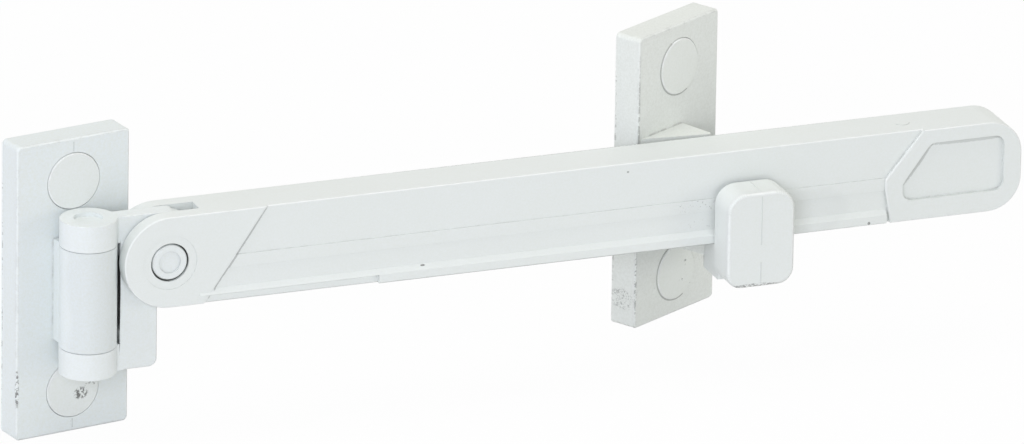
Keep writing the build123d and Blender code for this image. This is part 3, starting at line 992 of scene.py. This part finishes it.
@dataclass
class Studio:
    """White studio: floor, world, soft lights and the camera.

    Args:
        azimuth: How far the camera stands to the right of straight in front, in degrees.
        elevation: How far it stands above the horizon, in degrees.
        roll: How far it is turned about its own line of sight, in degrees.
        distance: How far it stands from the aim point, in metres.
        focal_pixels: Its focal length in pixels of the image.
        aim: The point in the middle of the image, in metres.
        sensor: The width of its sensor, in millimetres.
        clip: The nearest and the farthest distance that it shows, in metres.
        world_strength: How strong the sky's light is.
        floor_size: The floor's side, in metres.
        floor_gap: How far the floor lies under the part, in millimetres.
        floor_grey: How much light the floor throws back.
        floor_white: How much of the floor is plain white where it is seen.
        lights: The soft lights.
    """

    azimuth: float = -31.0087
    elevation: float = 20.0688
    roll: float = 0.9226
    distance: float = 3.88533
    focal_pixels: float = 16000.0
    aim: Triple = (0.1150609, -0.020, 0.0001851)
    sensor: float = 36.0
    clip: tuple[float, float] = (0.1, 50.0)
    world_strength: float = 0.487
    floor_size: float = 6.0
    floor_gap: float = 0.05
    floor_grey: float = 0.80
    floor_white: float = 0.97
    lights: tuple[Softbox, ...] = (
        Softbox("key", (-0.95, -1.1, 0.5), 0.6, 7.85, (0.883, 0.908, 1.0)),
        Softbox("overhead", (0.05, -0.05, 1.25), 0.8, 6.2, (1.0, 0.98, 0.92)),
        Softbox("left", (-1.5, 0.10, 0.15), 0.8, 6.1, (0.895, 0.9, 1.0)),
        Softbox("right", (1.0, -1.2, 0.12), 0.6, 3.6, (1.0, 0.983, 0.894)),
    )

    def build(self) -> None:
        """Sets up the whole studio."""
        scene = bpy.context.scene
        scene.view_settings.view_transform = "Standard"
        self._camera(scene)
        self._world(scene)
        self._floor()
        for light in self.lights:
            light.hang(self.aim)

    def _camera(self, scene: bpy.types.Scene) -> None:
        """Puts the camera at the photograph's angle.

        Args:
            scene: The scene that it is for.
        """
        side, rise = radians(self.azimuth), radians(self.elevation)
        back = Vector((sin(side) * cos(rise), -cos(side) * cos(rise), sin(rise)))
        data = bpy.data.cameras.new("studio_camera")
        data.sensor_fit = "HORIZONTAL"
        data.sensor_width = self.sensor
        data.lens = self.focal_pixels * self.sensor / IMAGE_WIDTH
        data.clip_start, data.clip_end = self.clip
        camera = bpy.data.objects.new("studio_camera", data)
        turn = (-back).to_track_quat("-Z", "Y").to_matrix().to_4x4()
        rolled = turn @ Matrix.Rotation(radians(self.roll), 4, "Z")
        camera.matrix_world = Matrix.Translation(Vector(self.aim) + back * self.distance) @ rolled
        scene.collection.objects.link(camera)
        scene.camera = camera

    @staticmethod
    def _seen(sheet: NodeSheet) -> bpy.types.NodeSocket:
        """A mask of the rays that show the background as it is: camera, glossy and transmission rays.

        Args:
            sheet: The sheet that its nodes go on.

        Returns:
            The mask's socket.
        """
        path = sheet.add("ShaderNodeLightPath")
        some = sheet.math("ADD", path.outputs["Is Camera Ray"], path.outputs["Is Glossy Ray"])
        return sheet.math("ADD", some, path.outputs["Is Transmission Ray"], clamp=True)

    def _world(self, scene: bpy.types.Scene) -> None:
        """A plain soft sky for the light, and white where it is seen.

        Args:
            scene: The scene that it is for.
        """
        world = bpy.data.worlds.new("white_room")
        scene.world = world
        world.use_nodes = True
        world.node_tree.nodes.clear()
        sheet = NodeSheet(world.node_tree)
        sky = sheet.add("ShaderNodeBackground", {"Color": WHITE, "Strength": self.world_strength})
        paper = sheet.add("ShaderNodeBackground", {"Color": WHITE, "Strength": 1.0})
        seen = self._seen(sheet)
        both = sheet.add("ShaderNodeMixShader", {0: seen, 1: sky.outputs[0], 2: paper.outputs[0]})
        sheet.add("ShaderNodeOutputWorld", {"Surface": both.outputs[0]})

    def _floor(self) -> None:
        """A pale floor under the part that shows white and keeps a faint shadow."""
        shape = bmesh.new()
        bmesh.ops.create_grid(shape, x_segments=1, y_segments=1, size=self.floor_size / 2)
        level = CAD_BOX[0][2] - self.floor_gap * MM
        bmesh.ops.translate(shape, vec=(self.aim[0], 0.0, level), verts=shape.verts[:])
        mesh = bpy.data.meshes.new("floor")
        shape.to_mesh(mesh)
        shape.free()
        floor = bpy.data.objects.new("floor", mesh)
        bpy.context.scene.collection.objects.link(floor)
        paper, sheet = blank_material("pale_floor")
        grey = self.floor_grey
        matt = sheet.add("ShaderNodeBsdfDiffuse", {"Color": (grey, grey, grey, 1.0)})
        white = sheet.add("ShaderNodeEmission", {"Color": WHITE, "Strength": 1.0})
        seen = sheet.math("MULTIPLY", self._seen(sheet), self.floor_white)
        both = sheet.add("ShaderNodeMixShader", {0: seen, 1: matt.outputs[0], 2: white.outputs[0]})
        sheet.add("ShaderNodeOutputMaterial", {"Surface": both.outputs[0]})
        mesh.materials.append(paper)


def frame_plate() -> ScrewPlate:
    """The plate on the window frame, nicked along its lower left edge and a little darker on its barrel by painted
    shade.

    Returns:
        The plate with its covers.
    """
    place = frame_place()
    nicks_and_shade = (Mark((-15.2, -7.2, -24.2), (0.65, 0.65, 6.2), 0.48, 0.8, 1.5),
             Mark((0.0, -7.4, -30.0), (16.0, 1.0, 8.0), 0.16, 0.3, 1.2),
             Mark((-15.4, -0.2, 0.0), (0.5, 0.5, 42.0), 0.42, 0.4, 0.7),
             # Painted shade: the barrel a little darker all over.
             Mark((-1.5, -20.0, 0.0), (6.6, 8.0, 60.0), 2.0, 0.09, 0.03))
    specks = (Mark((2.1, -7.8, -27.9), (2.2, 0.8, 1.8), 0.58, 0.9, 1.3),
              Mark((4.6, -7.8, -26.0), (2.2, 0.8, 0.7), 0.36, 0.7, 1.6))
    bluish = (0.76, 0.81, 0.825)
    return ScrewPlate(
        "hinge_plate", ("hinge_cap_upper", "hinge_cap_lower"), Body.FRAME_SIDE, place,
        PlasticFinish("frame_plate_white", place, colour=bluish, mottle=1.5, marks=nicks_and_shade),
        PlasticFinish("frame_cover_white", place, mottle=1.2, edge_dirt=0.2, edge_highlight=0.6, marks=specks),
    )


def sash_plate() -> ScrewPlate:
    """The plate on the sash, greyer than the rest and scuffed low on its left side.

    Returns:
        The plate with its covers.
    """
    place = sash_place()
    grey = (0.80, 0.83, 0.80)
    scuffs = (Mark((-15.4, -3.2, -30.5), (0.9, 4.6, 3.4), 0.42, 0.5, 2.1),
              Mark((-15.3, -7.3, -26.0), (0.45, 0.45, 14.0), 0.5, 0.6, 1.6),
              Mark((-15.2, -3.6, -37.3), (0.8, 5.0, 0.6), 0.5, 0.6, 1.2),
              Mark((0.0, -7.4, -28.0), (16.0, 1.0, 9.0), 0.18, 0.35, 1.1),
              Mark((-15.4, -0.2, 0.0), (0.5, 0.5, 42.0), 0.42, 0.35, 0.7),
              Mark((-15.2, -7.4, 6.0), (0.4, 0.4, 36.0), 0.72, 0.42, 0.9))
    specks = (Mark((3.4, -7.8, -25.0), (0.7, 0.8, 0.9), 0.5, 0.8, 1.6),
              Mark((1.9, -7.8, -29.3), (1.0, 0.8, 0.5), 0.45, 0.8, 1.6))
    return ScrewPlate(
        "keeper_plate", ("keeper_cap_upper", "keeper_cap_lower"), Body.SASH_SIDE, place,
        PlasticFinish("sash_plate_white", place, colour=grey, tint=(0.58, 0.60, 0.545), mottle=0.9,
                      edge_dirt=0.25, corner_shade=0.85, edge_highlight=0.25, marks=scuffs),
        PlasticFinish("sash_cover_white", place, colour=grey, mottle=1.0, edge_dirt=0.15, edge_highlight=0.85,
                      marks=specks),
        parted=False, rim_shade=0.5,
    )


def hinge_link() -> HingeLink:
    """The link and its pins, a little bluer than the arm, with painted shade in its slot."""
    # Painted shade: a near-black line in the slot.
    slot = Mark((7.4, -1.5, -8.1), (0.26, 3.5, 14.2), 1.0, 1.0, 0.15)
    return HingeLink(PlasticFinish("link_white", arm_place(), colour=(0.77, 0.81, 0.82), mottle=1.2,
                                   grime_and_shade=(0.025, 0.025, 0.025), marks=(slot,)))


def channel_arm() -> ChannelArm:
    """The arm, with specks on its front, rubbing marks where the knob runs, and painted shade in grooves and
    steps.

    Returns:
        The arm.
    """
    marks = (
        Mark((83.4, -5.8, -8.4), (0.75, 0.6, 0.28), 0.8, 0.8),
        Mark((136.4, -5.8, 9.3), (0.35, 0.6, 0.3), 0.8, 0.6),
        Mark((130.0, 6.7, 11.5), (115.0, 0.8, 0.7), 0.78, 0.5, 0.7),
        Mark((120.0, -6.8, -11.55), (85.0, 1.2, 0.28), 0.85, 0.4, 0.25),
        # Painted shadow along the diagonal step.
        Mark((36.45, -5.9, 0.95), (0.3, 0.7, 15.0), 1.0, 0.42, 1.2, radians(34.6)),
        # Painted shadow inside the pocket, along its upper-left and top walls.
        Mark((212.4, -5.8, 2.6), (0.5, 0.6, 6.5), 1.0, 0.3, 1.2, radians(36.8)),
        Mark((225.3, -5.8, 7.3), (11.5, 0.6, 0.5), 1.0, 0.26, 1.2),
        Mark((199.4, -6.8, -11.0), (0.4, 0.6, 0.5), 0.8),
        Mark((154.5, -6.05, -1.5), (7.5, 0.6, 2.2), 0.3, 0.45, 1.3),
        Mark((156.5, -5.9, -6.3), (6.5, 0.8, 2.6), 0.24, 0.4, 1.2),
        Mark((180.0, -6.0, -6.5), (16.0, 2.5, 6.5), 2.0, 0.05, 0.05),
        # Painted shade in the deep groove round the pivot.
        Mark((18.6, -4.2, 0.0), (8.0, 1.9, 8.0), 1.0, 0.95, 0.1),
    )
    white = PlasticFinish("arm_white", arm_place(), edge_dirt=0.06, corner_shade=0.5, edge_highlight=0.55,
                          marks=marks)
    return ChannelArm(white, arm_place())


def swivel_hook() -> SwivelHook:
    """The hook, clean on its front and scraped at its lower rim.

    Returns:
        The hook with its pin.
    """
    scrape = Mark((-2.0, -15.5, -20.0), (8.0, 1.0, 1.0), 0.55, 0.7, 1.1)
    white = PlasticFinish("hook_white", hook_place(), edge_dirt=0.08, edge_highlight=0.5, marks=(scrape,))
    return SwivelHook(white, SteelFinish(), hook_place())


def main() -> None:
    """Builds the part's pieces and the studio, and logs how many pieces there are and their faces."""
    logging.basicConfig(level=logging.INFO, format="%(name)s: %(message)s")
    effects = Effects()
    shop = Workshop()
    for assembly in (frame_plate(), hinge_link(), channel_arm(), swivel_hook(), sash_plate()):
        assembly.build(shop, effects)
    Studio().build()
    bpy.context.view_layer.update()
    log.info("%d pieces", len(shop.pieces))


if __name__ == "__main__":
    main()
